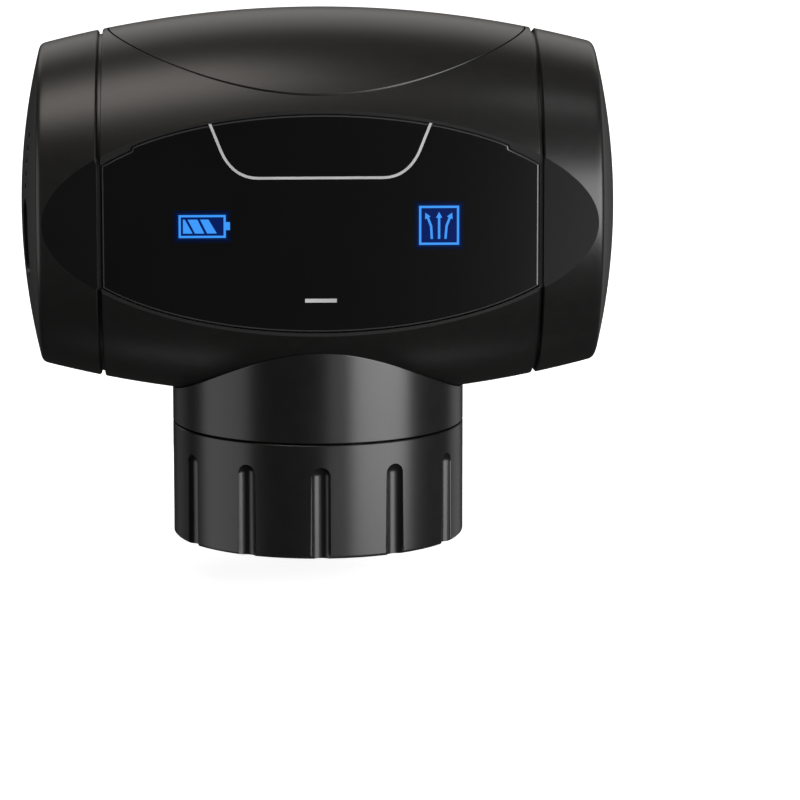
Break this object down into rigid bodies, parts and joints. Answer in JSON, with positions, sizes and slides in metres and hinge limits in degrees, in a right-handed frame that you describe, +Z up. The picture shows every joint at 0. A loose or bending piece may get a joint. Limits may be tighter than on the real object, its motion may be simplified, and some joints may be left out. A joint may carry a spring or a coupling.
{
  "type": "bottle vacuum pump",
  "caption": "Battery-powered wine bottle vacuum pump and stopper: barrel-shaped head with a glossy touch display, round neck and ribbed screw ring that seals on a bottle.",
  "frame": {"origin": "centre of the bottle bore at the lower face of the ribbed ring", "axes": "+Z up along the neck, -Y is the display side, X along the barrel"},
  "size_m": [0.088, 0.0528, 0.079],
  "materials": {
    "shell_plastic": "fine matt moulded",
    "neck_plastic": "satin moulded",
    "panel_acrylic": "polished",
    "seal_silicone": "matt",
    "black_rubber": "matt",
    "inner_plastic": "moulded",
    "white_plastic": "moulded",
    "circuit_board": "lacquered",
    "chip_black": "moulded",
    "lamp_lens": "clear",
    "spring_steel": "drawn",
    "steel": "plated",
    "brass": "turned",
    "magnet": "sintered",
    "cell_foil": "foil",
    "foam": "open-cell foam",
    "hose_silicone": "translucent",
    "lead_red": "insulated wire"
  },
  "bodies": {
    "casing": {"main_shell": "shell_plastic", "left_end_cap": "shell_plastic", "right_end_cap": "shell_plastic", "neck_sleeve": "neck_plastic", "display_panel": "panel_acrylic", "diaphragm": "black_rubber", "motor_pads": "black_rubber", "check_valve": "black_rubber", "valve_flaps": "black_rubber", "chassis": "inner_plastic", "valve_deck": "inner_plastic", "suction_stem": "inner_plastic", "release_valve": "inner_plastic", "pump_case": "inner_plastic", "pump_head": "inner_plastic", "valve_plate": "inner_plastic", "light_mask": "white_plastic", "motor_end_bell": "white_plastic", "socket_tongue": "white_plastic", "display_board": "circuit_board", "main_board": "circuit_board", "charge_board": "circuit_board", "board_chips": "chip_black", "pressure_sensor": "chip_black", "display_lamps": "lamp_lens", "touch_springs": "spring_steel", "release_spring": "spring_steel", "plate_springs": "spring_steel", "motor_can": "steel", "motor_screws": "steel", "pump_screws": "steel", "deck_screws": "steel", "leg_screws": "steel", "charging_socket": "steel", "motor_bushes": "brass", "motor_terminals": "brass", "motor_magnets": "magnet", "battery_cell": "cell_foil", "battery_pad": "foam", "exhaust_filter": "foam", "release_hose": "hose_silicone", "exhaust_hose": "hose_silicone", "battery_leads": "lead_red"},
    "release": {"release_plate": "shell_plastic", "release_plunger": "white_plastic", "release_o_ring": "black_rubber"},
    "rotor": {"motor_shaft": "steel", "armature": "steel", "commutator": "brass", "eccentric": "brass"},
    "pump_rod": {"connecting_rod": "inner_plastic", "rod_bearing": "steel", "diaphragm_clamp": "white_plastic"},
    "seal": {"seal_carrier": "inner_plastic", "bottle_seal": "seal_silicone", "stem_o_ring": "black_rubber"},
    "ring": {"grip_ring": "neck_plastic"}
  },
  "joints": [
    {"name": "release_press", "type": "slide", "parent": "casing", "child": "release", "axis": [0, 0, -1], "range_m": [0, 0.0012], "stiffness_N_per_m": 900, "springref_m": -0.002, "deforming": ["release_spring", "plate_springs"]},
    {"name": "motor_spin", "type": "hinge", "parent": "casing", "child": "rotor", "pos_m": [0, 0.0041, 0.05], "axis": [1, 0, 0], "continuous": true},
    {"name": "rod_orbit", "type": "hinge", "parent": "rotor", "child": "pump_rod", "pos_m": [0.008, 0.0041, 0.049], "axis": [1, 0, 0], "continuous": true},
    {"name": "seal_drop", "type": "slide", "parent": "casing", "child": "seal", "axis": [0, 0, -1], "range_m": [0, 0.006]},
    {"name": "ring_turn", "type": "hinge", "parent": "seal", "child": "ring", "pos_m": [0, 0, 0], "axis": [0, 0, -1], "range_deg": [0, 720]}
  ],
  "couplings": [
    {"joint": "rod_orbit", "follows": "motor_spin", "ratio": -1},
    {"joint": "ring_turn", "follows": "seal_drop", "rad_per_m": 2094.4}
  ]
}
